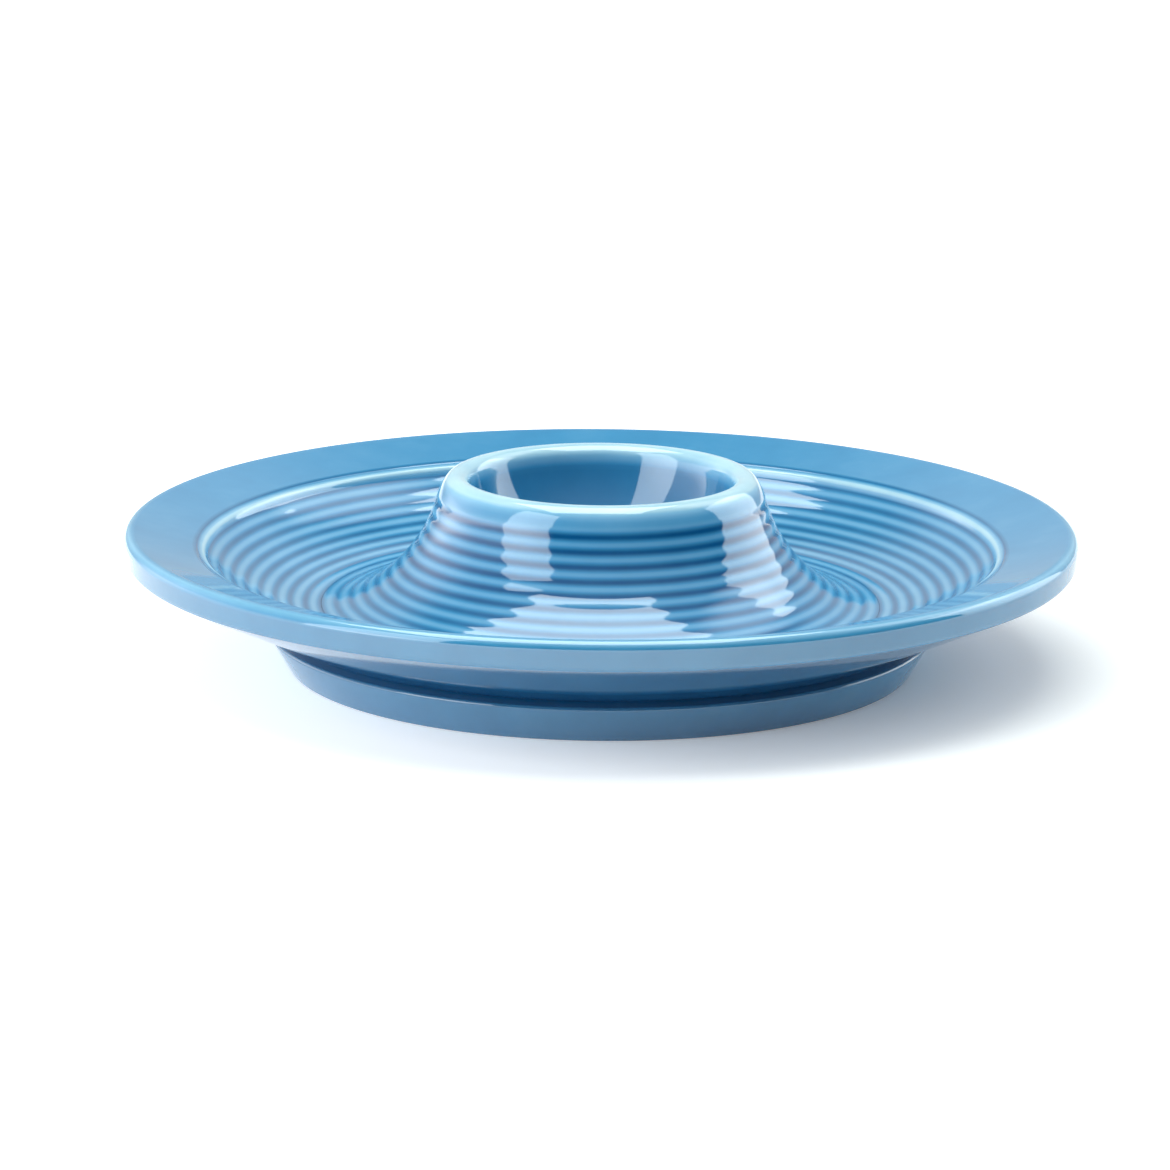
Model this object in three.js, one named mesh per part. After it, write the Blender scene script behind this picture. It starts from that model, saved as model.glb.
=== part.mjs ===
// Egg cup with its saucer in one: a low, hollow cup rises from the middle of a plate, and fine
// round ridges run down its flank and up the trough around it. Blue glazed porcelain.
// Four turned members are stuck together with slip before firing: foot ring, saucer, cone, bowl.
// Millimetres, +Z up. The table is z = 0 and the axis of turning is x = y = 0.
import * as THREE from 'three';

// Foot ring
const FOOT_RADIUS = 49.1; // widest, at its top
const FOOT_HEIGHT = 5.6;
const FOOT_WIDTH = 8.1; // at its top
const FOOT_TAPER = 3.2; // how much smaller its radius is at the table
const FOOT_ROUND = 0.9; // at the table
const FOOT_TOP_ROUND = 0.4;

// Saucer
const RIM_RADIUS = 70;
const RIM_HEIGHT = 20.45;
const RIM_EDGE = 4.1; // thickness of the edge
const RIM_ROUND = 1.3; // radius of the edge, from its widest line over its top
const RIM_UNDERCUT = 0.2; // how far its lower corner lies inside the widest line
const RIM_LOWER_ROUND = 1;
const RIM_WIDTH = 10.7; // from the widest line in to the ridges
const RIM_FALL = 2.45; // drop of the rim towards the trough
const WALL_SLOPE = 48; // degrees, where the trough's wall reaches the rim
const NECK_DEPTH = 1.2; // groove above the foot
const NECK_HEIGHT = 1;
const NECK_ROUND = 0.4;

// Seats of the foot ring and of the cone in the saucer
const SPIGOT_WIDTH = 4.7;
const SPIGOT_DEPTH = 1.5;
const LEDGE_WIDTH = 5;
const LEDGE_THICKNESS = 1.8;
const SEAT_DEPTH = 1.6; // how deep the cone's base sits below the trough's lowest line

// Bowl with its lip
const LIP_HEIGHT = 28.4;
const LIP_THICKNESS = 3.9;
const LIP_REACH = 42; // degrees from level, where the lip's round ends outside
const BAND_HEIGHT = 2.1; // from the lip's middle down to the seam with the cone
const BAND_FLARE = 1.1;
const BAND_LEAN = 22; // degrees from upright, at the band's foot
const MOUTH_RADIUS = 19.3;
const BOWL_LEAN = 13; // degrees from upright, where the bowl's inside leaves the lip
const BOWL_FLOOR = 10; // lowest point of the bowl above the table
const BOWL_WALL = 2.4;

// Cone
const CONE_LEAN = 16.5; // degrees from upright, below the lip
const CONE_SPREAD = 20; // degrees from level, where the hollow inside starts

// Share of its chord over which a curve keeps the direction of its end
const CURVE_EASE = 1 / 3;

// Ridges
const RIDGE_PITCH = 2.2;
const RIDGE_DEPTH = 0.22;
const BEAD_DEPTH = 0.35; // outermost ridge, next to the rim

// Gap left by the slip between members
const SLIP_GAP = 0.3;

// Fineness of the facets
const SEGMENTS = 48;
const STEPS_PER_RIDGE = 4;
const STEPS_PER_CURVE = 8;
const STEPS_PER_ROUND = 3;

// Glaze
const GLAZE_COLOUR = '#5e9fca';
const GLAZE_ROUGHNESS = 0.12;

// Radii and heights where the members meet
const footInner = FOOT_RADIUS - FOOT_WIDTH;
const spigotRadius = footInner - SLIP_GAP;
const openingRadius = spigotRadius - SPIGOT_WIDTH;
const coneRadius = openingRadius + LEDGE_WIDTH;
const ledgeHeight = FOOT_HEIGHT + LEDGE_THICKNESS;
const troughHeight = ledgeHeight + SEAT_DEPTH;
const lipRound = LIP_THICKNESS / 2;
const lipCentre = LIP_HEIGHT - lipRound;
const shoulderHeight = lipCentre - BAND_HEIGHT;
const shoulderRadius = MOUTH_RADIUS + LIP_THICKNESS + BAND_FLARE;
const bowlOuter = MOUTH_RADIUS + BOWL_WALL;
const bowlUnderside = BOWL_FLOOR - BOWL_WALL;
const neckRadius = bowlOuter * Math.sqrt(1 - (BAND_HEIGHT / (lipCentre - bowlUnderside)) ** 2);
const coneNeck = neckRadius + SLIP_GAP;

const at = (r, z) => new THREE.Vector2(r, z);

// A point a given length away, in a direction given in degrees from the outward radius
function away(point, degrees, length) {
  const angle = THREE.MathUtils.degToRad(degrees);
  return at(point.x + length * Math.cos(angle), point.y + length * Math.sin(angle));
}

// A rounded corner, no larger than its two sides allow
function rounded(before, corner, after, radius) {
  const back = before.clone().sub(corner);
  const on = after.clone().sub(corner);
  const half = Math.acos(back.dot(on) / (back.length() * on.length())) / 2;
  const room = Math.min(back.length(), on.length()) / 2;
  const reach = Math.min(radius / Math.tan(half), room);
  const start = corner.clone().add(back.setLength(reach));
  const end = corner.clone().add(on.setLength(reach));
  const centre = corner.clone().add(back.add(on).setLength(reach / Math.cos(half)));
  const from = start.clone().sub(centre);
  const turn = Math.PI - 2 * half;
  const side = Math.sign(from.cross(end.clone().sub(centre)));
  const points = [];
  for (let step = 0; step <= STEPS_PER_ROUND; step += 1) {
    const angle = side * turn * step / STEPS_PER_ROUND;
    points.push(from.clone().rotateAround(at(0, 0), angle).add(centre));
  }
  return points;
}

// Where on a circle a line from a point touches it, on the side that the sign gives
function touching(point, centre, radius, sign) {
  const way = point.clone().sub(centre);
  return way.angle() + sign * Math.acos(radius / way.length());
}

// A curve with whole ridges along it, raised on the right-hand side of its run
function ridged(curve, firstDepth) {
  const count = Math.max(1, Math.round(curve.getLength() / RIDGE_PITCH));
  const steps = count * STEPS_PER_RIDGE;
  const points = [];
  for (let step = 0; step <= steps; step += 1) {
    const along = curve.getTangentAt(step / steps);
    const depth = step < STEPS_PER_RIDGE ? firstDepth : RIDGE_DEPTH;
    const rise = depth * (1 - Math.cos(2 * Math.PI * step / STEPS_PER_RIDGE)) / 2;
    points.push(curve.getPointAt(step / steps).add(at(along.y, -along.x).multiplyScalar(rise)));
  }
  return points;
}

// A smooth curve that leaves one point and reaches another at given angles
function sweep(start, startDegrees, end, endDegrees) {
  const length = start.distanceTo(end) * CURVE_EASE;
  return new THREE.CubicBezierCurve(
    start,
    away(start, startDegrees, length),
    away(end, endDegrees + 180, length),
    end,
  );
}

// A solid of turning from a profile of radius and height
function turned(name, profile) {
  const geometry = new THREE.LatheGeometry(profile, SEGMENTS);
  geometry.rotateX(Math.PI / 2);
  const material = new THREE.MeshStandardMaterial({
    color: GLAZE_COLOUR,
    roughness: GLAZE_ROUGHNESS,
    metalness: 0,
  });
  const mesh = new THREE.Mesh(geometry, material);
  mesh.name = name;
  return mesh;
}

// Ring that the saucer stands on, turned with rounded edges
function footRing() {
  const innerBottom = at(footInner, 0);
  const outerBottom = at(FOOT_RADIUS - FOOT_TAPER, 0);
  const outerTop = at(FOOT_RADIUS, FOOT_HEIGHT);
  const innerTop = at(footInner, FOOT_HEIGHT);
  const bottom = rounded(innerTop, innerBottom, outerBottom, FOOT_ROUND);
  return turned('foot_ring', [
    ...bottom,
    ...rounded(innerBottom, outerBottom, outerTop, FOOT_ROUND),
    ...rounded(outerBottom, outerTop, innerTop, FOOT_TOP_ROUND),
    innerTop,
    bottom[0],
  ]);
}

// Plate with a plain sloping rim and a round edge, a ridged wall down to the trough, a ledge for
// the cone around its opening, a spigot that centres the foot ring and a short neck above that ring
function saucer() {
  const spigotFoot = FOOT_HEIGHT - SPIGOT_DEPTH;
  const start = at(openingRadius, spigotFoot);
  const neckFoot = at(FOOT_RADIUS - NECK_DEPTH, FOOT_HEIGHT);
  const neckTop = at(FOOT_RADIUS - NECK_DEPTH, FOOT_HEIGHT + NECK_HEIGHT);
  const edgeLower = at(RIM_RADIUS - RIM_UNDERCUT, RIM_HEIGHT - RIM_EDGE);
  const edgeMiddle = at(RIM_RADIUS - RIM_ROUND, RIM_HEIGHT - RIM_ROUND);
  const rimInner = at(RIM_RADIUS - RIM_WIDTH, RIM_HEIGHT - RIM_FALL);
  const edge = new THREE.EllipseCurve(
    edgeMiddle.x, edgeMiddle.y, RIM_ROUND, RIM_ROUND,
    touching(edgeLower, edgeMiddle, RIM_ROUND, 1), touching(rimInner, edgeMiddle, RIM_ROUND, -1),
  );
  const troughLine = at(coneRadius + SLIP_GAP, troughHeight);
  const wall = sweep(rimInner, 180 + WALL_SLOPE, troughLine, 180);
  return turned('saucer', [
    start,
    at(spigotRadius, spigotFoot),
    at(spigotRadius, FOOT_HEIGHT),
    neckFoot,
    ...rounded(neckFoot, neckTop, edgeLower, NECK_ROUND),
    ...rounded(neckTop, edgeLower, edge.getPoint(0), RIM_LOWER_ROUND),
    ...edge.getPoints(STEPS_PER_CURVE),
    ...ridged(wall, BEAD_DEPTH),
    at(coneRadius + SLIP_GAP, ledgeHeight),
    at(openingRadius, ledgeHeight),
    start,
  ]);
}

// Hollow flank of the cup, open below, with its ridged face curving out into the trough
function cupCone() {
  const troughLine = at(coneRadius, troughHeight);
  const shoulder = at(shoulderRadius, shoulderHeight);
  const neck = at(coneNeck, shoulderHeight);
  const base = at(openingRadius, ledgeHeight);
  const flank = sweep(troughLine, 180, shoulder, 90 + CONE_LEAN);
  const hollow = sweep(neck, CONE_LEAN - 90, base, -CONE_SPREAD);
  return turned('cup_cone', [
    base,
    at(coneRadius, ledgeHeight),
    ...ridged(flank, RIDGE_DEPTH),
    ...hollow.getSpacedPoints(STEPS_PER_CURVE),
  ]);
}

// Bowl that holds the egg, with a rolled lip. Below it lies the upper half of a ridge, whose groove
// is the seam with the cone
function cupBowl() {
  const quarter = Math.PI / 2;
  const reach = THREE.MathUtils.degToRad(LIP_REACH);
  const lean = THREE.MathUtils.degToRad(BOWL_LEAN);
  const lipMiddle = at(MOUTH_RADIUS + lipRound, lipCentre);
  const lip = new THREE.EllipseCurve(
    lipMiddle.x, lipMiddle.y, lipRound, lipRound, reach, 2 * quarter - lean,
  );
  const lipStart = away(lipMiddle, LIP_REACH, lipRound);
  const lipEnd = away(lipMiddle, 180 - BOWL_LEAN, lipRound);
  const bowlDepth = (lipEnd.y - BOWL_FLOOR) / (1 - Math.sin(lean));
  const inside = new THREE.EllipseCurve(
    0, BOWL_FLOOR + bowlDepth, lipEnd.x / Math.cos(lean), bowlDepth, -lean, -quarter, true,
  );
  const neckAngle = Math.asin(BAND_HEIGHT / (lipCentre - bowlUnderside));
  const outside = new THREE.EllipseCurve(
    0, lipCentre, bowlOuter, lipCentre - bowlUnderside, -quarter, -neckAngle,
  );
  const shoulder = at(shoulderRadius, shoulderHeight);
  const halfRidge = away(shoulder, 90 + CONE_LEAN, RIDGE_PITCH / 2);
  const crest = away(halfRidge, CONE_LEAN, RIDGE_DEPTH);
  const band = sweep(crest, 90 + BAND_LEAN, lipStart, 90 + LIP_REACH);
  return turned('cup_bowl', [
    ...outside.getPoints(STEPS_PER_CURVE).slice(0, -1),
    at(neckRadius, shoulderHeight),
    shoulder,
    ...band.getPoints(STEPS_PER_ROUND).slice(0, -1),
    ...lip.getPoints(STEPS_PER_CURVE),
    ...inside.getPoints(STEPS_PER_CURVE).slice(1),
  ]);
}

const eggCup = new THREE.Group();
eggCup.add(footRing(), saucer(), cupCone(), cupBowl());

export default eggCup;
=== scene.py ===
"""Looks of the egg cup with its saucer: blue glazed porcelain in soft studio light."""
import math

import bpy
import bmesh
from mathutils import Matrix, Vector


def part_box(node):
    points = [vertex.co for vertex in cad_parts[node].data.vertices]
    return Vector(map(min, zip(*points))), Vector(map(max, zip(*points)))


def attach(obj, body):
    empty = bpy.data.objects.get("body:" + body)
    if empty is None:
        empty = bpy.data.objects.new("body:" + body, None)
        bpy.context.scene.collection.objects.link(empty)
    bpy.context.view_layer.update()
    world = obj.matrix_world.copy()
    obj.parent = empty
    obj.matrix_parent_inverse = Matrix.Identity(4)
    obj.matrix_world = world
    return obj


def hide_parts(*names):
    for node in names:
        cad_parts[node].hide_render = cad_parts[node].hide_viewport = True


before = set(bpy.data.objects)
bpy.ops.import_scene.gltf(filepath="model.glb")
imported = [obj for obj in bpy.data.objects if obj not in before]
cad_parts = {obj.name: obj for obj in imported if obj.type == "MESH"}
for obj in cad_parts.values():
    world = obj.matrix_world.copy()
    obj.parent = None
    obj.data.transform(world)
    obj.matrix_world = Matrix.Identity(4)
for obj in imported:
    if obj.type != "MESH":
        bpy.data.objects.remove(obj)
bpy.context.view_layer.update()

# Saucer
# The plate that carries the cup, turned in porcelain and dipped in a blue glaze. Its rim has a nearly
# upright edge and slopes in to a bead; round ridges run from there down the wall of the trough to the
# seam with the cup. Below it a sharp groove marks the joint with the foot ring, dark with pooled glaze
# and painted shade, and the underside is painted darker as shade.
MM = 0.001
RIM_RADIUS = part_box("saucer")[1].x / MM
RIM_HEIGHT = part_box("saucer")[1].z / MM
RIM_EDGE = 4.1
RIM_ROUND = 1.3
RIM_UNDERCUT = 0.2
RIM_LOWER_ROUND = 1.0
RIM_WIDTH = 10.7
RIM_FALL = 2.45
WALL_SLOPE = 48
FOOT_RADIUS = 49.1
FOOT_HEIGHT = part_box("foot_ring")[1].z / MM
GROOVE_HEIGHT = 0.6
GROOVE_DEPTH = 1.5
GROOVE_FOOT = 0.6
# How far the groove's painted shade reaches along the underside
GROOVE_SHADE = 2.5
SPIGOT_RADIUS = 40.7
SPIGOT_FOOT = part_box("saucer")[0].z / MM
OPENING_RADIUS = 36.0
LEDGE_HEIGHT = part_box("cup_cone")[0].z / MM
SEAM_RADIUS = 41.15
TROUGH_HEIGHT = 9.0
RIDGE_PITCH = 2.2
# The ridges' relief is kept low; their stripes of shade and light are painted in the glaze film
RIDGE_DEPTH = 0.035
BEAD_DEPTH = 0.35
# How wide the bead's pale band is: thin glaze with a painted highlight
BEAD_HIGHLIGHT_SPREAD = 0.5
CURVE_EASE = 1 / 3
STEPS_PER_RIDGE = 14
STEPS_PER_ROUND = 10
STEPS_PER_EDGE = 24
STEPS_PER_SHADE = 4
STEPS_PER_UNDERSIDE = 24
STEPS_PER_FACE = 4
STEPS_PER_RIM = 12
STEPS_PER_CURVE = 2000
SEGMENTS = 288

# How thin the glaze lies: 0 where it fills the joint, 1 where it has run off an edge, and more
# where it was wiped off. The scale also carries painted light: its low values paint shade in the
# joint, below the rim and in the bowl, and its pale values paint highlights on edges and the bead
JOINT = 0.0
# Pooled glaze in grooves, which also paints the ridges' shade
POOLED_AND_SHADED = 0.15
# Painted shade below the rim
UNDERSIDE_SHADE = 0.24
# Darker than plain: painted shade on the foot's top round, and, with pooled glaze, the lowest grooves of
# the cup
DEEP_AND_SHADED = 0.33
# Painted shade on the rim's lower edge
SHADED = 0.37
PLAIN = 0.5
EDGE = 0.58
CREST = 0.68
THIN = 0.85
LIP = 0.98
# Films of the wall's grooves and crests, partly pooled and thin glaze and partly painted shade and light
WALL_GROOVE = 0.27
WALL_CREST = 0.74
# Thinnest glaze, also the bead's painted highlight
BARE = 1.0
WIPED = 1.2


def at(r, z):
    return Vector((r, z))


def away(point, degrees, length):
    angle = math.radians(degrees)
    return point + length * at(math.cos(angle), math.sin(angle))


def corner(point, film=PLAIN):
    return [(point, 0.0, 1.0, film)]


def rounded(before, tip, after, radius, film=PLAIN, ends=PLAIN, steps=STEPS_PER_ROUND):
    """Points of a round that replaces a corner of a profile, no larger than its sides allow."""
    back, on = before - tip, after - tip
    half = back.angle(on) / 2
    reach = min(radius / math.tan(half), min(back.length, on.length) / 2)
    start, end = tip + back.normalized() * reach, tip + on.normalized() * reach
    middle = (back.normalized() + on.normalized()).normalized()
    centre = tip + middle * (reach / math.cos(half))
    spoke = start - centre
    turn = (math.pi - 2 * half) * (1 if spoke.cross(end - centre) > 0 else -1)
    points = []
    for step in range(steps + 1):
        share = math.sin(math.pi * step / steps)
        place = centre + Matrix.Rotation(turn * step / steps, 2) @ spoke
        points.append((place, 0.0, 1.0, ends + (film - ends) * share))
    return points


def touching(point, centre, radius, sign):
    """Where on a circle, in degrees, a line from a point touches it, on the side of the sign."""
    way = point - centre
    angle = math.atan2(way.y, way.x) + sign * math.acos(radius / way.length)
    return math.degrees(angle)


def arc(centre, radius_r, radius_z, start_degrees, end_degrees, steps, films):
    """Points of an arc, with films that run from one to the next at even steps."""
    points = []
    for step in range(steps + 1):
        share = step / steps
        angle = math.radians(start_degrees + (end_degrees - start_degrees) * share)
        place = centre + at(radius_r * math.cos(angle), radius_z * math.sin(angle))
        points.append((place, 0.0, 1.0, between(films, share)))
    return points


def between(films, share):
    """Value at a share of the way along a list of films."""
    place = share * (len(films) - 1)
    k = min(int(place), len(films) - 2)
    return films[k] + (films[k + 1] - films[k]) * (place - k)


def line(start, end, steps, film=PLAIN, last=None):
    """Evenly spaced points of a straight stretch of a profile, without its ends."""
    films = [film, film if last is None else last]
    shares = [step / steps for step in range(1, steps)]
    return [(start.lerp(end, share), 0.0, 1.0, between(films, share)) for share in shares]


def sweep(start, start_degrees, end, end_degrees):
    """A smooth curve that leaves one point and reaches another at given angles."""
    length = (end - start).length * CURVE_EASE
    b, c = away(start, start_degrees, length), away(end, end_degrees + 180, length)

    def place(t):
        u = 1 - t
        return u ** 3 * start + 3 * u * u * t * b + 3 * u * t * t * c + t ** 3 * end

    return place


def spaced(curve, count):
    """Points at even distances along a curve, and its length."""
    fine = [curve(step / STEPS_PER_CURVE) for step in range(STEPS_PER_CURVE + 1)]
    lengths = [0.0]
    for a, b in zip(fine, fine[1:]):
        lengths.append(lengths[-1] + (b - a).length)
    points, k = [], 0
    for step in range(count + 1):
        wanted = lengths[-1] * step / count
        while k < STEPS_PER_CURVE - 1 and lengths[k + 1] < wanted:
            k += 1
        share = (wanted - lengths[k]) / (lengths[k + 1] - lengths[k])
        points.append(fine[k].lerp(fine[k + 1], share))
    return points, lengths[-1]


def ridged(curve, grooves, crest=CREST, ridges=None, first_swell=1.0, first_film=CREST):
    """Points along a curve with ridges: how many so far, how much they swell, and their glaze film,
    whose stripes are partly pooled and thin glaze and partly painted shade and light.
    """
    ridges = ridges or round(spaced(curve, 1)[1] / RIDGE_PITCH)
    points = spaced(curve, round(ridges * STEPS_PER_RIDGE))[0]
    run = []
    for step, point in enumerate(points):
        count = step / STEPS_PER_RIDGE
        swell, film = (first_swell, first_film) if count < 1 else (1.0, crest)
        # The bead's film rises to BARE over a wider band, a painted highlight over thin glaze
        spread = BEAD_HIGHLIGHT_SPREAD if film == BARE else 1.0
        wave = ((1 - math.cos(math.tau * count)) / 2) ** spread
        groove = between(grooves, step / (len(points) - 1))
        run.append((point, count, swell, groove + wave * (film - groove)))
    return run


def add(tree, kind, links=(), **settings):
    """Adds a node with its settings and its links, given as (input, source socket or value)."""
    node = tree.nodes.new(kind)
    for name, value in settings.items():
        setattr(node, name, value)
    for socket, source in links:
        if isinstance(source, bpy.types.NodeSocket):
            tree.links.new(source, node.inputs[socket])
        else:
            node.inputs[socket].default_value = source
    return node


SHARP = math.radians(40)
SEAM_REACH = 2e-6
HAND_WAVES_PER_METRE = 45.0
HAND_DETAIL = 1.0


def wheel_tree():
    """Geometry nodes that turn a profile about the axis and raise the ridges along it."""
    tree = bpy.data.node_groups.new("turned_on_the_wheel", "GeometryNodeTree")
    face = tree.interface
    face.new_socket("Profile", in_out="INPUT", socket_type="NodeSocketGeometry")
    face.new_socket("Segments", in_out="INPUT", socket_type="NodeSocketInt")
    face.new_socket("Ridge depth", in_out="INPUT", socket_type="NodeSocketFloat")
    face.new_socket("Unevenness", in_out="INPUT", socket_type="NodeSocketFloat")
    face.new_socket("Glaze", in_out="INPUT", socket_type="NodeSocketMaterial")
    face.new_socket("Turned piece", in_out="OUTPUT", socket_type="NodeSocketGeometry")
    given = add(tree, "NodeGroupInput").outputs
    size = add(tree, "GeometryNodeAttributeDomainSize", [("Geometry", given["Profile"])])
    rows = size.outputs["Point Count"]
    columns = add(tree, "ShaderNodeMath", [(0, given["Segments"]), (1, 1.0)], operation="ADD")
    grid = add(tree, "GeometryNodeMeshGrid", [("Vertices X", columns.outputs[0]), ("Vertices Y", rows)])
    index = add(tree, "GeometryNodeInputIndex").outputs[0]
    row = add(tree, "ShaderNodeMath", [(0, index), (1, rows)], operation="MODULO").outputs[0]
    column = add(tree, "ShaderNodeMath", [(0, index), (1, rows)], operation="DIVIDE").outputs[0]
    column = add(tree, "ShaderNodeMath", [(0, column)], operation="FLOOR").outputs[0]
    share = add(tree, "ShaderNodeMath", [(0, column), (1, given["Segments"])], operation="DIVIDE")
    angle = add(tree, "ShaderNodeMath", [(0, share.outputs[0]), (1, math.tau)], operation="MULTIPLY")

    def profile_value(name, kind):
        if name == "position":
            value = add(tree, "GeometryNodeInputPosition").outputs[0]
        else:
            links = [("Name", name)]
            value = add(tree, "GeometryNodeInputNamedAttribute", links, data_type=kind).outputs[0]
        links = [("Geometry", given["Profile"]), ("Value", value), ("Index", row)]
        return add(tree, "GeometryNodeSampleIndex", links, data_type=kind).outputs[0]

    links = [(0, profile_value("ridge", "FLOAT")), (1, math.tau)]
    turns = add(tree, "ShaderNodeMath", links, operation="MULTIPLY")
    wave = add(tree, "ShaderNodeMath", [(0, turns.outputs[0])], operation="COSINE")
    links = [(0, wave.outputs[0]), (1, -0.5), (2, 0.5)]
    rise = add(tree, "ShaderNodeMath", links, operation="MULTIPLY_ADD")
    links = [(0, rise.outputs[0]), (1, given["Ridge depth"])]
    height = add(tree, "ShaderNodeMath", links, operation="MULTIPLY")
    links = [(0, height.outputs[0]), (1, profile_value("swell", "FLOAT"))]
    height = add(tree, "ShaderNodeMath", links, operation="MULTIPLY")

    def turn(vector):
        links = [("Vector", vector), ("Angle", angle.outputs[0])]
        return add(tree, "ShaderNodeVectorRotate", links, rotation_type="Z_AXIS").outputs[0]

    smooth = turn(profile_value("position", "FLOAT_VECTOR"))
    outward = turn(profile_value("outward", "FLOAT_VECTOR"))
    links = [("Vector", smooth), ("Scale", HAND_WAVES_PER_METRE), ("Detail", HAND_DETAIL)]
    hand = add(tree, "ShaderNodeTexNoise", links)
    hand = add(tree, "ShaderNodeMath", [(0, hand.outputs[0]), (1, -0.5)], operation="ADD")
    links = [(0, hand.outputs[0]), (1, given["Unevenness"])]
    hand = add(tree, "ShaderNodeMath", links, operation="MULTIPLY")
    height = add(tree, "ShaderNodeMath", [(0, height.outputs[0]), (1, hand.outputs[0])], operation="ADD")
    links = [(0, outward), ("Scale", height.outputs[0])]
    shift = add(tree, "ShaderNodeVectorMath", links, operation="SCALE")
    place = add(tree, "ShaderNodeVectorMath", [(0, smooth), (1, shift.outputs[0])], operation="ADD")
    links = [("Geometry", grid.outputs["Mesh"]), ("Position", place.outputs[0])]
    piece = add(tree, "GeometryNodeSetPosition", links)
    links = [("Geometry", piece.outputs[0]), ("Name", "film"), ("Value", profile_value("film", "FLOAT"))]
    piece = add(tree, "GeometryNodeStoreNamedAttribute", links, data_type="FLOAT", domain="POINT")
    links = [("Geometry", piece.outputs[0]), ("Distance", SEAM_REACH)]
    piece = add(tree, "GeometryNodeMergeByDistance", links)
    piece = add(tree, "GeometryNodeSetShadeSmooth", [("Geometry", piece.outputs[0])], domain="FACE")
    bend = add(tree, "GeometryNodeInputMeshEdgeAngle").outputs["Unsigned Angle"]
    keen = add(tree, "ShaderNodeMath", [(0, bend), (1, SHARP)], operation="GREATER_THAN")
    links = [("Geometry", piece.outputs[0]), ("Selection", keen.outputs[0]), ("Shade Smooth", False)]
    piece = add(tree, "GeometryNodeSetShadeSmooth", links, domain="EDGE")
    piece = add(tree, "GeometryNodeRealizeInstances", [("Geometry", piece.outputs[0])])
    links = [("Geometry", piece.outputs[0]), ("Material", given["Glaze"])]
    piece = add(tree, "GeometryNodeSetMaterial", links)
    add(tree, "NodeGroupOutput", [("Turned piece", piece.outputs[0])])
    return tree


WHEEL = wheel_tree()
HAND_UNEVENNESS = 0.02
SAME_PLACE = 0.001
SLIVER = 1e-7


def turned(name, profile, glaze):
    """A piece of turning about the axis from a closed profile in millimetres."""
    places = [row[0] for row in profile]
    steps = [b - a for a, b in zip(places, places[1:])]
    closed = (places[0] - places[-1]).length < SAME_PLACE
    first, last = (steps[-1] + steps[0],) * 2 if closed else (steps[0], steps[-1])
    steps = [first] + [a + b for a, b in zip(steps, steps[1:])] + [last]
    mesh = bpy.data.meshes.new(name + "_profile")
    edges = [(k, k + 1) for k in range(len(places) - 1)]
    mesh.from_pydata([(p.x * MM, 0, p.y * MM) for p in places], edges, [])
    for value, column in (("ridge", 1), ("swell", 2), ("film", 3)):
        attribute = mesh.attributes.new(value, "FLOAT", "POINT")
        for k, point in enumerate(profile):
            attribute.data[k].value = point[column]
    outward = mesh.attributes.new("outward", "FLOAT_VECTOR", "POINT")
    for k, step in enumerate(steps):
        side = at(step.y, -step.x).normalized()
        outward.data[k].vector = (side.x, 0, side.y)
    shape = bpy.data.objects.new(name + "_profile", mesh)
    bpy.context.scene.collection.objects.link(shape)
    wheel = shape.modifiers.new("wheel", "NODES")
    wheel.node_group = WHEEL
    values = {
        "Segments": SEGMENTS,
        "Ridge depth": RIDGE_DEPTH * MM,
        "Unevenness": HAND_UNEVENNESS * MM,
        "Glaze": glaze,
    }
    for item in WHEEL.interface.items_tree:
        if item.in_out == "INPUT" and item.name in values:
            wheel[item.identifier] = values[item.name]
    graph = bpy.context.evaluated_depsgraph_get()
    plain = bpy.data.meshes.new_from_object(shape.evaluated_get(graph))
    plain.name = name
    bpy.data.objects.remove(shape)
    bpy.data.meshes.remove(mesh)
    work = bmesh.new()
    work.from_mesh(plain)
    bmesh.ops.dissolve_degenerate(work, dist=SLIVER, edges=work.edges)
    bmesh.ops.recalc_face_normals(work, faces=work.faces)
    work.to_mesh(plain)
    work.free()
    piece = bpy.data.objects.new(name, plain)
    bpy.context.scene.collection.objects.link(piece)
    return piece


def srgb(code):
    """Linear colour of an sRGB hex value."""
    shares = [int(code[k:k + 2], 16) / 255 for k in (1, 3, 5)]
    return [v / 12.92 if v <= 0.04045 else ((v + 0.055) / 1.055) ** 2.4 for v in shares] + [1.0]


# Blue glaze
# A coloured glassy film fired onto white porcelain. It pools dark in grooves and breaks paler over
# crests and edges, and part of that dark and pale is painted shade and painted highlight. It has soft
# clouds in its depth and a faintly rippled, mirror-like skin. Its IOR is above a common glaze's, so
# that the highlights are as bright as on the real piece.
GLAZE_JOINT = "#03598a"
GLAZE_POOLED_AND_SHADED = "#0c5c90"
GLAZE_PLAIN = "#489dcd"
GLAZE_THIN = "#8ccbec"
GLAZE_BARE = "#c6eefa"
BARE_PORCELAIN = "#e6e1d8"
GLAZE_IOR = 2.0
GLAZE_GLOSS = 0.06
PORCELAIN_GLOSS = 0.6
CLOUD_SIZE = 9.0
CLOUD_SHARE = 0.16
CLOUD_DETAIL = 4.0
RIPPLE_SIZE = 2.5
RIPPLE_HEIGHT = 0.003
RIPPLE_DETAIL = 1.0


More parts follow.
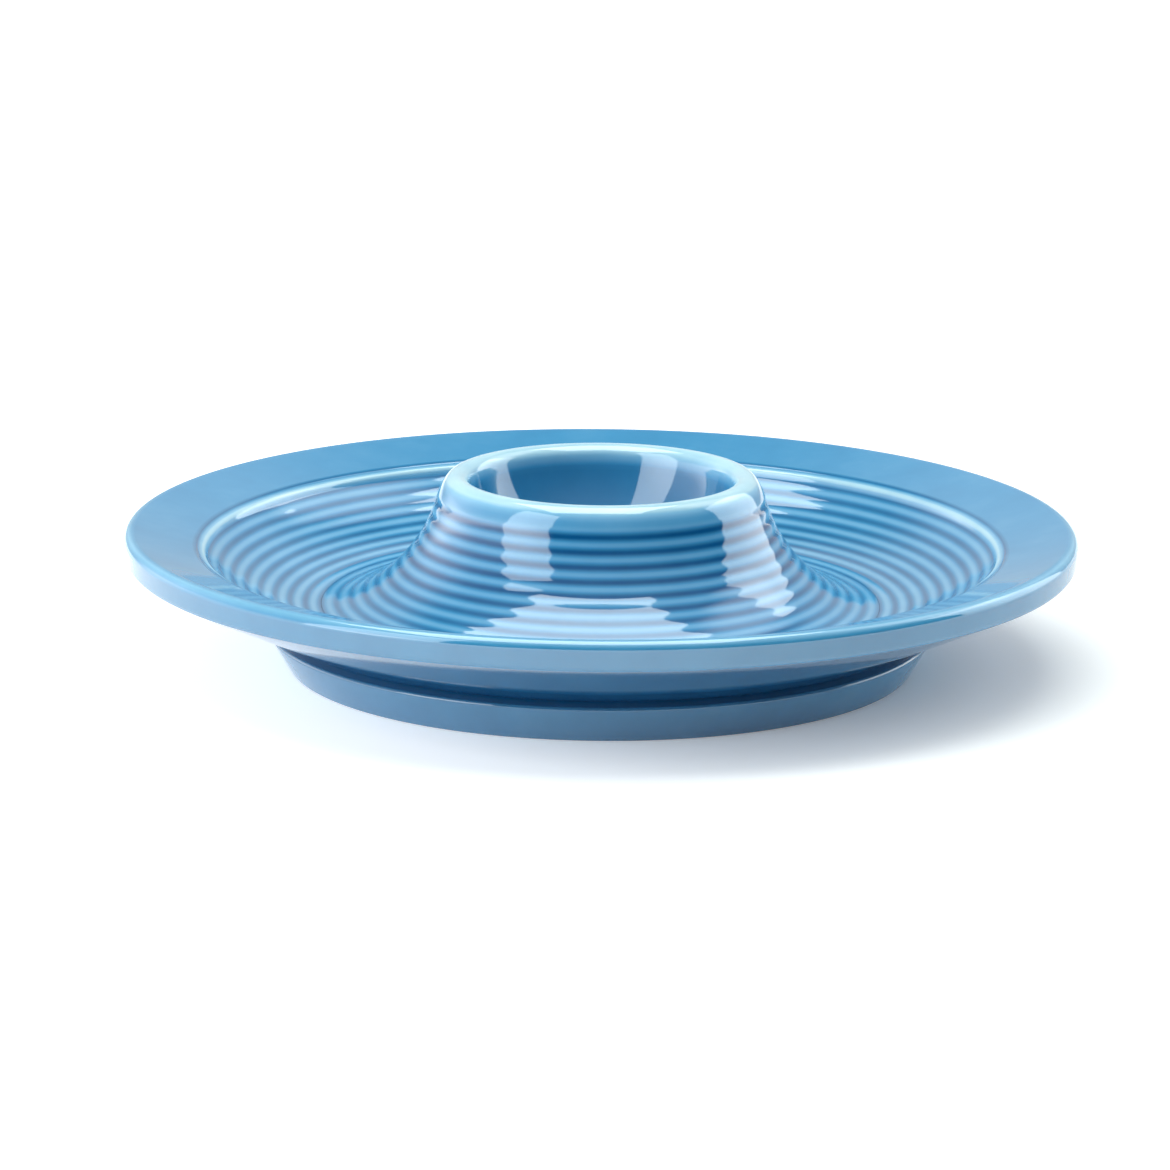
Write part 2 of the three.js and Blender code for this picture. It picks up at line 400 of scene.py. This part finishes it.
def blue_glaze():
    material = bpy.data.materials.new("blue_glazed_porcelain")
    material.use_nodes = True
    tree = material.node_tree
    tree.nodes.clear()
    film = add(tree, "ShaderNodeAttribute", attribute_name="film")
    where = add(tree, "ShaderNodeTexCoord").outputs["Object"]
    links = [("Vector", where), ("Scale", 1 / (CLOUD_SIZE * MM)), ("Detail", CLOUD_DETAIL)]
    cloud = add(tree, "ShaderNodeTexNoise", links)
    links = [(0, cloud.outputs[0]), (1, CLOUD_SHARE), (2, -CLOUD_SHARE / 2)]
    cloud = add(tree, "ShaderNodeMath", links, operation="MULTIPLY_ADD")
    links = [(0, film.outputs["Fac"]), (1, cloud.outputs[0])]
    depth = add(tree, "ShaderNodeMath", links, operation="ADD")
    colour = add(tree, "ShaderNodeValToRGB", [("Fac", depth.outputs[0])])
    stops = colour.color_ramp.elements
    stops[0].color = srgb(GLAZE_JOINT)
    stops[1].color = srgb(GLAZE_BARE)
    stops.new(POOLED_AND_SHADED).color = srgb(GLAZE_POOLED_AND_SHADED)
    stops.new(PLAIN).color = srgb(GLAZE_PLAIN)
    stops.new(THIN).color = srgb(GLAZE_THIN)
    links = [("Vector", where), ("Scale", 1 / (RIPPLE_SIZE * MM)), ("Detail", RIPPLE_DETAIL)]
    ripple = add(tree, "ShaderNodeTexNoise", links)
    links = [("Height", ripple.outputs[0]), ("Distance", RIPPLE_HEIGHT * MM)]
    skin = add(tree, "ShaderNodeBump", links)
    links = [("Value", film.outputs["Fac"]), ("From Min", BARE), ("From Max", WIPED)]
    wiped = add(tree, "ShaderNodeMapRange", links)
    links = [("Factor", wiped.outputs[0]), (6, colour.outputs[0]), (7, srgb(BARE_PORCELAIN))]
    colour = add(tree, "ShaderNodeMix", links, data_type="RGBA")
    links = [("Value", wiped.outputs[0]), ("To Min", GLAZE_GLOSS), ("To Max", PORCELAIN_GLOSS)]
    gloss = add(tree, "ShaderNodeMapRange", links)
    shader = add(tree, "ShaderNodeBsdfPrincipled", [
        ("Base Color", colour.outputs[2]),
        ("Roughness", gloss.outputs[0]),
        ("IOR", GLAZE_IOR),
        ("Normal", skin.outputs[0]),
    ])
    add(tree, "ShaderNodeOutputMaterial", [("Surface", shader.outputs[0])])
    return material


GLAZE = blue_glaze()

neck_foot = at(FOOT_RADIUS - GROOVE_FOOT, FOOT_HEIGHT)
neck_top = at(FOOT_RADIUS - GROOVE_DEPTH, FOOT_HEIGHT + GROOVE_HEIGHT)
edge_lower = at(RIM_RADIUS - RIM_UNDERCUT, RIM_HEIGHT - RIM_EDGE)
edge_middle = at(RIM_RADIUS - RIM_ROUND, RIM_HEIGHT - RIM_ROUND)
rim_inner = at(RIM_RADIUS - RIM_WIDTH, RIM_HEIGHT - RIM_FALL)
# Along the edge's round the film paints shade at its lower end and a highlight in its middle, over glaze
# that breaks thinner there
edge = arc(
    edge_middle, RIM_ROUND, RIM_ROUND,
    touching(edge_lower, edge_middle, RIM_ROUND, 1),
    touching(rim_inner, edge_middle, RIM_ROUND, -1) + 360,
    STEPS_PER_EDGE, [SHADED, PLAIN, CREST, THIN, EDGE, PLAIN],
)
# Painted shade: the lower round and the face below the edge carry the SHADED film
lower_round = rounded(neck_top, edge_lower, edge[0][0], RIM_LOWER_ROUND, SHADED, SHADED)
shade_end = neck_top + GROOVE_SHADE * (edge_lower - neck_top).normalized()
wall = sweep(rim_inner, 180 + WALL_SLOPE, at(SEAM_RADIUS, TROUGH_HEIGHT), 180)
spigot_start = at(OPENING_RADIUS, SPIGOT_FOOT)
saucer_profile = (
    corner(spigot_start)
    + corner(at(SPIGOT_RADIUS, SPIGOT_FOOT))
    + corner(at(SPIGOT_RADIUS, FOOT_HEIGHT))
    + corner(neck_foot, JOINT)
    + corner(neck_top, JOINT)
    # Painted shade: from the groove the film runs from the joint's dark to the underside's, which stays
    # darker as painted shade
    + line(neck_top, shade_end, STEPS_PER_SHADE, JOINT, UNDERSIDE_SHADE)
    + line(shade_end, lower_round[0][0], STEPS_PER_UNDERSIDE, UNDERSIDE_SHADE)
    + lower_round
    + line(lower_round[-1][0], edge[0][0], STEPS_PER_FACE, SHADED)
    + edge
    + line(edge[-1][0], rim_inner, STEPS_PER_RIM)
    # The bead is the first ridge: it swells more, and its film paints a highlight over thin glaze
    + ridged(wall, [WALL_GROOVE, WALL_GROOVE], WALL_CREST, None, BEAD_DEPTH / RIDGE_DEPTH, BARE)
    + corner(at(SEAM_RADIUS, LEDGE_HEIGHT))
    + corner(at(OPENING_RADIUS, LEDGE_HEIGHT))
    + corner(spigot_start)
)
saucer = turned("saucer_dish", saucer_profile, GLAZE)
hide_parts("saucer")
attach(saucer, "root")

# Cone of the cup
# The hollow flank, turned with the same ridges and stuck into the saucer with slip before firing.
# It curves out into the trough, where its lowest groove hides the seam.
SHOULDER_RADIUS = 24.3
SHOULDER_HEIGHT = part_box("cup_cone")[1].z / MM
NECK_RADIUS = 21.87
CONE_LEAN = 16.5
CONE_SPREAD = 20
SEAM_GAP = 0.05
STEPS_PER_HOLLOW = 24
shoulder = at(SHOULDER_RADIUS, SHOULDER_HEIGHT)
cone_base = at(OPENING_RADIUS, LEDGE_HEIGHT)
hollow = sweep(at(NECK_RADIUS, SHOULDER_HEIGHT), CONE_LEAN - 90, cone_base, -CONE_SPREAD)
flank = sweep(at(SEAM_RADIUS - SEAM_GAP, TROUGH_HEIGHT), 180, shoulder, 90 + CONE_LEAN)
cone_profile = (
    corner(cone_base)
    + corner(at(SEAM_RADIUS - SEAM_GAP, LEDGE_HEIGHT))
    # The grooves' film is lightest at the trough and darkest toward the shoulder; it paints the ridges'
    # shade as well as pooled glaze
    + ridged(flank, [DEEP_AND_SHADED, WALL_GROOVE, POOLED_AND_SHADED, POOLED_AND_SHADED])
    + [(point, 0.0, 1.0, PLAIN) for point in spaced(hollow, STEPS_PER_HOLLOW)[0]]
)
cone = turned("cup_flank", cone_profile, GLAZE)
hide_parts("cup_cone")
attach(cone, "root")

# Bowl of the cup
# The bowl that holds the egg, turned with a rolled lip. Below the lip lies half a ridge, whose
# groove hides the joint with the cone under the glaze.
LIP_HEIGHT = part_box("cup_bowl")[1].z / MM
LIP_THICKNESS = 3.9
LIP_REACH = 42
BAND_LEAN = 22
HALF_RIDGE = 0.5
MOUTH_RADIUS = 19.3
BOWL_LEAN = 13
BOWL_FLOOR = 10.0
BOWL_WALL = 2.4
# Painted shade: the inside of the bowl is coloured darker
BOWL_PAINTED_SHADE = 0.36
BOWL_SHADES = 18
STEPS_PER_BAND = 16
STEPS_PER_LIP = 32
STEPS_PER_BOWL = 40
lip_round = LIP_THICKNESS / 2
lip_centre = LIP_HEIGHT - lip_round
bowl_centre = at(0, lip_centre)
lip_middle = at(MOUTH_RADIUS + lip_round, lip_centre)
outer_depth = lip_centre - BOWL_FLOOR + BOWL_WALL
neck_degrees = -math.degrees(math.asin((lip_centre - SHOULDER_HEIGHT) / outer_depth))
half_ridge_end = away(shoulder, 90 + CONE_LEAN, RIDGE_PITCH * HALF_RIDGE)
crest = away(half_ridge_end, CONE_LEAN, RIDGE_DEPTH)
lip_start = away(lip_middle, LIP_REACH, lip_round)
lip_end = away(lip_middle, 180 - BOWL_LEAN, lip_round)
bowl_radius = lip_end.x / math.cos(math.radians(BOWL_LEAN))
bowl_depth = (lip_end.y - BOWL_FLOOR) / (1 - math.sin(math.radians(BOWL_LEAN)))
band = sweep(crest, 90 + BAND_LEAN, lip_start, 90 + LIP_REACH)
bowl_profile = (
    arc(
        bowl_centre, MOUTH_RADIUS + BOWL_WALL, outer_depth, -90, neck_degrees,
        STEPS_PER_BOWL, [PLAIN, PLAIN],
    )
    + ridged(lambda t: shoulder.lerp(half_ridge_end, t), [POOLED_AND_SHADED, POOLED_AND_SHADED], ridges=HALF_RIDGE)[:-1]
    + [
        (point, 0.0, 1.0, between([CREST, EDGE, EDGE, CREST, THIN, LIP], step / STEPS_PER_BAND))
        for step, point in enumerate(spaced(band, STEPS_PER_BAND)[0][:-1])
    ]
    + arc(
        lip_middle, lip_round, lip_round, LIP_REACH, 180 - BOWL_LEAN,
        STEPS_PER_LIP, [LIP, LIP, LIP, LIP, THIN],
    )
    # Inside the bowl the film turns to the darker painted shade below the lip
    + arc(
        at(0, BOWL_FLOOR + bowl_depth), bowl_radius, bowl_depth, -BOWL_LEAN, -90,
        STEPS_PER_BOWL, [THIN] + [BOWL_PAINTED_SHADE] * BOWL_SHADES,
    )[1:]
)
bowl = turned("egg_bowl", bowl_profile, GLAZE)
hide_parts("cup_bowl")
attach(bowl, "root")

# Foot ring
# The turned ring that the saucer stands on, stuck on with slip. Its edges are rounded, so a groove
# shows where it meets the saucer, dark with pooled glaze and painted shade, and its top round is
# painted darker as shade. Its standing face is wiped free of glaze.
FOOT_WIDTH = 8.1
FOOT_TAPER = 3.2
FOOT_ROUND = 0.9
FOOT_TOP_ROUND = 0.4
WIPED_EDGE = 0.15
foot_inner = FOOT_RADIUS - FOOT_WIDTH
inner_bottom, outer_bottom = at(foot_inner, 0), at(FOOT_RADIUS - FOOT_TAPER, 0)
outer_top, inner_top = at(FOOT_RADIUS, FOOT_HEIGHT), at(foot_inner, FOOT_HEIGHT)
foot_start = rounded(inner_top, inner_bottom, outer_bottom, FOOT_ROUND)
foot_end = rounded(inner_bottom, outer_bottom, outer_top, FOOT_ROUND)
wiped_from, wiped_to = foot_start[-1][0] + at(WIPED_EDGE, 0), foot_end[0][0] - at(WIPED_EDGE, 0)
foot_profile = (
    foot_start
    + corner(wiped_from, WIPED)
    + corner(wiped_to, WIPED)
    + foot_end
    # Painted shade: the top round darkens towards its middle, and the top face by the joint takes the
    # joint's dark
    + rounded(outer_bottom, outer_top, inner_top, FOOT_TOP_ROUND, DEEP_AND_SHADED, PLAIN)
    + corner(at(FOOT_RADIUS - 2 * FOOT_TOP_ROUND, FOOT_HEIGHT), JOINT)
    + corner(inner_top, JOINT)
    + corner(foot_start[0][0])
)
foot = turned("standing_foot", foot_profile, GLAZE)
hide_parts("foot_ring")
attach(foot, "root")

# Camera
# A long lens a little above the rim, rolled by half a degree, as the picture was taken.
CAMERA_DISTANCE = 0.885
CAMERA_ELEVATION = math.radians(13.53)
CAMERA_ROLL = math.radians(0.479)
CAMERA_AIM = Vector((-2.289 * MM, 0, 11.576 * MM))
PICTURE_WIDTH = 1170
PIXELS_PER_MM = 6.787
SENSOR = 36.0
lens = bpy.data.cameras.new("camera")
lens.sensor_fit = "HORIZONTAL"
lens.sensor_width = SENSOR
lens.lens = SENSOR * PIXELS_PER_MM * CAMERA_DISTANCE / MM / PICTURE_WIDTH
camera = bpy.data.objects.new("camera", lens)
back = Vector((0, -math.cos(CAMERA_ELEVATION), math.sin(CAMERA_ELEVATION)))
turn_up = Matrix.Rotation(math.pi / 2 - CAMERA_ELEVATION, 4, "X")
roll = Matrix.Rotation(CAMERA_ROLL, 4, "Z")
camera.matrix_world = Matrix.Translation(CAMERA_AIM + CAMERA_DISTANCE * back) @ turn_up @ roll
bpy.context.scene.collection.objects.link(camera)
bpy.context.scene.camera = camera

# Floor
# A plain white matt table that keeps the soft shadow of the foot. To the eye and in reflections it is
# as white as paper; its glow is painted light, brighter at the left, where the light comes from, and a
# painted shadow dims it below the piece.
FLOOR_SIZE = 6.0
FLOOR_COLOUR = "#f4f4f2"
FLOOR_ROUGHNESS = 0.7
FLOOR_GLOW_LEFT = 1.0
FLOOR_GLOW_RIGHT = 0.3
FLOOR_GLOW_FAR = 0.7
GLOW_LEFT = -0.15
GLOW_RIGHT = 0.07
GLOW_START = 0.12
GLOW_END = 0.7
SHADOW_MIDDLE = (0.02, 0.005, 0)
SHADOW_START = 0.02
SHADOW_END = 0.07
half = FLOOR_SIZE / 2
floor_mesh = bpy.data.meshes.new("floor")
corners = [(-half, -half, 0), (half, -half, 0), (half, half, 0), (-half, half, 0)]
floor_mesh.from_pydata(corners, [], [(0, 1, 2, 3)])
floor = bpy.data.objects.new("floor", floor_mesh)
bpy.context.scene.collection.objects.link(floor)


def seen(tree):
    """1 for what the camera sees, straight, mirrored or through glass, and 0 for light on surfaces."""
    path = add(tree, "ShaderNodeLightPath").outputs
    links = [(0, path["Is Camera Ray"]), (1, path["Is Glossy Ray"])]
    mirrored = add(tree, "ShaderNodeMath", links, operation="MAXIMUM")
    links = [(0, mirrored.outputs[0]), (1, path["Is Transmission Ray"])]
    return add(tree, "ShaderNodeMath", links, operation="MAXIMUM").outputs[0]


def white_table():
    material = bpy.data.materials.new("white_table")
    material.use_nodes = True
    tree = material.node_tree
    tree.nodes.clear()
    where = add(tree, "ShaderNodeTexCoord").outputs["Object"]
    reach = add(tree, "ShaderNodeVectorMath", [(0, where)], operation="LENGTH").outputs["Value"]
    across = add(tree, "ShaderNodeSeparateXYZ", [(0, where)]).outputs["X"]
    # Painted light: the glow is brighter toward the left
    links = [
        ("Value", across), ("From Min", GLOW_LEFT), ("From Max", GLOW_RIGHT),
        ("To Min", FLOOR_GLOW_LEFT), ("To Max", FLOOR_GLOW_RIGHT),
    ]
    near = add(tree, "ShaderNodeMapRange", links).outputs[0]
    links = [
        ("Value", reach), ("From Min", GLOW_START), ("From Max", GLOW_END),
        ("To Min", near), ("To Max", FLOOR_GLOW_FAR),
    ]
    glow = add(tree, "ShaderNodeMapRange", links).outputs[0]
    glow = add(tree, "ShaderNodeMath", [(0, glow), (1, seen(tree))], operation="MULTIPLY").outputs[0]
    # Painted shadow: the glow fades near a point a little right of the piece
    links = [(0, where), (1, SHADOW_MIDDLE)]
    shade = add(tree, "ShaderNodeVectorMath", links, operation="DISTANCE").outputs["Value"]
    links = [("Value", shade), ("From Min", SHADOW_START), ("From Max", SHADOW_END)]
    shade = add(tree, "ShaderNodeMapRange", links).outputs[0]
    glow = add(tree, "ShaderNodeMath", [(0, glow), (1, shade)], operation="MULTIPLY").outputs[0]
    shader = add(tree, "ShaderNodeBsdfPrincipled", [
        ("Base Color", srgb(FLOOR_COLOUR)),
        ("Roughness", FLOOR_ROUGHNESS),
        ("Specular IOR Level", 0.0),
        ("Emission Color", (1, 1, 1, 1)),
        ("Emission Strength", glow),
    ])
    add(tree, "ShaderNodeOutputMaterial", [("Surface", shader.outputs[0])])
    return material


floor_mesh.materials.append(white_table())

# Light
# A tall soft box at the left front, a lower one at the right back and one overhead. The room adds the
# glows of a white backdrop, a wall and its sill at the left, the ceiling, and a reflector high up at
# the right. Azimuth 0 is at the camera's side and 90 at its right.
DAYLIGHT = "#f7ffff"


def soft_box(name, place, aim, width, height, radiance):
    """A flat lamp of even brightness, given as a multiple of white, that faces a point."""
    lamp = bpy.data.lights.new(name, "AREA")
    lamp.shape = "RECTANGLE"
    lamp.size = width
    lamp.size_y = height
    lamp.energy = math.pi * width * height * radiance
    lamp.color = srgb(DAYLIGHT)[:3]
    box = bpy.data.objects.new(name, lamp)
    box.location = place
    box.rotation_euler = (aim - place).to_track_quat("-Z", "Y").to_euler()
    bpy.context.scene.collection.objects.link(box)


def upright_box(name, azimuth, distance, width, top, radiance):
    """A soft box that stands on the table and faces the cup."""
    a = math.radians(azimuth)
    place = Vector((distance * math.sin(a), -distance * math.cos(a), top / 2))
    soft_box(name, place, Vector((0, 0, top / 2)), width, top, radiance)


OVERHEAD_SHIFT = -0.075
OVERHEAD_HEIGHT = 1.2
upright_box("left_soft_box", azimuth=-54, distance=1.2, width=0.757, top=1.4, radiance=2.15)
upright_box("right_soft_box", azimuth=115, distance=1.2, width=1.02, top=1.0, radiance=2.05)
soft_box(
    "overhead_soft_box", Vector((OVERHEAD_SHIFT, 0, OVERHEAD_HEIGHT)), Vector((OVERHEAD_SHIFT, 0, 0)),
    width=1.13, height=1.12, radiance=3.1,
)

BACKDROP_GLOW = 0.6
BACKDROP_FULL = 0.45
BACKDROP_TOP = 0.74
FAR_START = 0.0
FAR_FULL = 0.6
LEFT_WALL_GLOW = 0.95
LEFT_WALL_FULL = 0.12
LEFT_WALL_TOP = 0.9
LEFT_SILL_GLOW = 1.0
LEFT_SILL_FULL = 0.1
LEFT_SILL_TOP = 0.25
LEFT_FULL = -0.85
LEFT_END = -0.5
ROOM_GLOW = 0.3
ROOM_FLOOR = 0.35
ROOM_FULL = 0.9
ROOM_FAR_SHARE = 0.3
REFLECTOR_WAY = (0.60, 0.35, 0.72)
REFLECTOR_EDGE = 0.92
REFLECTOR_GLOW = 1.3
world = bpy.data.worlds.new("studio")
world.use_nodes = True
tree = world.node_tree
tree.nodes.clear()
sky_way = add(tree, "ShaderNodeTexCoord").outputs["Generated"]
way = add(tree, "ShaderNodeSeparateXYZ", [(0, sky_way)]).outputs


def graded(value, first, last, first_level, last_level):
    """A smooth change of level with a direction's share along an axis."""
    links = [
        ("Value", value), ("From Min", first), ("From Max", last),
        ("To Min", first_level), ("To Max", last_level),
    ]
    return add(tree, "ShaderNodeMapRange", links, interpolation_type="SMOOTHSTEP").outputs[0]


links = [(0, sky_way), (1, REFLECTOR_WAY)]
toward = add(tree, "ShaderNodeVectorMath", links, operation="DOT_PRODUCT")
far_side = graded(way["Y"], FAR_START, FAR_FULL, 0.0, 1.0)
left_side = graded(way["X"], LEFT_FULL, LEFT_END, 1.0, 0.0)
near_side = graded(way["Y"], FAR_START, FAR_FULL, 1.0, ROOM_FAR_SHARE)
glows = [
    (graded(way["Z"], BACKDROP_FULL, BACKDROP_TOP, BACKDROP_GLOW, 0.0), far_side),
    (graded(way["Z"], LEFT_WALL_FULL, LEFT_WALL_TOP, LEFT_WALL_GLOW, 0.0), left_side),
    (graded(way["Z"], LEFT_SILL_FULL, LEFT_SILL_TOP, LEFT_SILL_GLOW, 0.0), left_side),
    (graded(way["Z"], ROOM_FLOOR, ROOM_FULL, 0.0, ROOM_GLOW), near_side),
    (graded(toward.outputs["Value"], REFLECTOR_EDGE, 1.0, 0.0, REFLECTOR_GLOW), 1.0),
]
level = 0.0
for glow, share in glows:
    links = [(0, glow), (1, share), (2, level)]
    level = add(tree, "ShaderNodeMath", links, operation="MULTIPLY_ADD").outputs[0]
sky = add(tree, "ShaderNodeBackground", [("Color", (1, 1, 1, 1)), ("Strength", level)])
add(tree, "ShaderNodeOutputWorld", [("Surface", sky.outputs[0])])
bpy.context.scene.world = world
bpy.context.scene.view_settings.view_transform = "Standard"
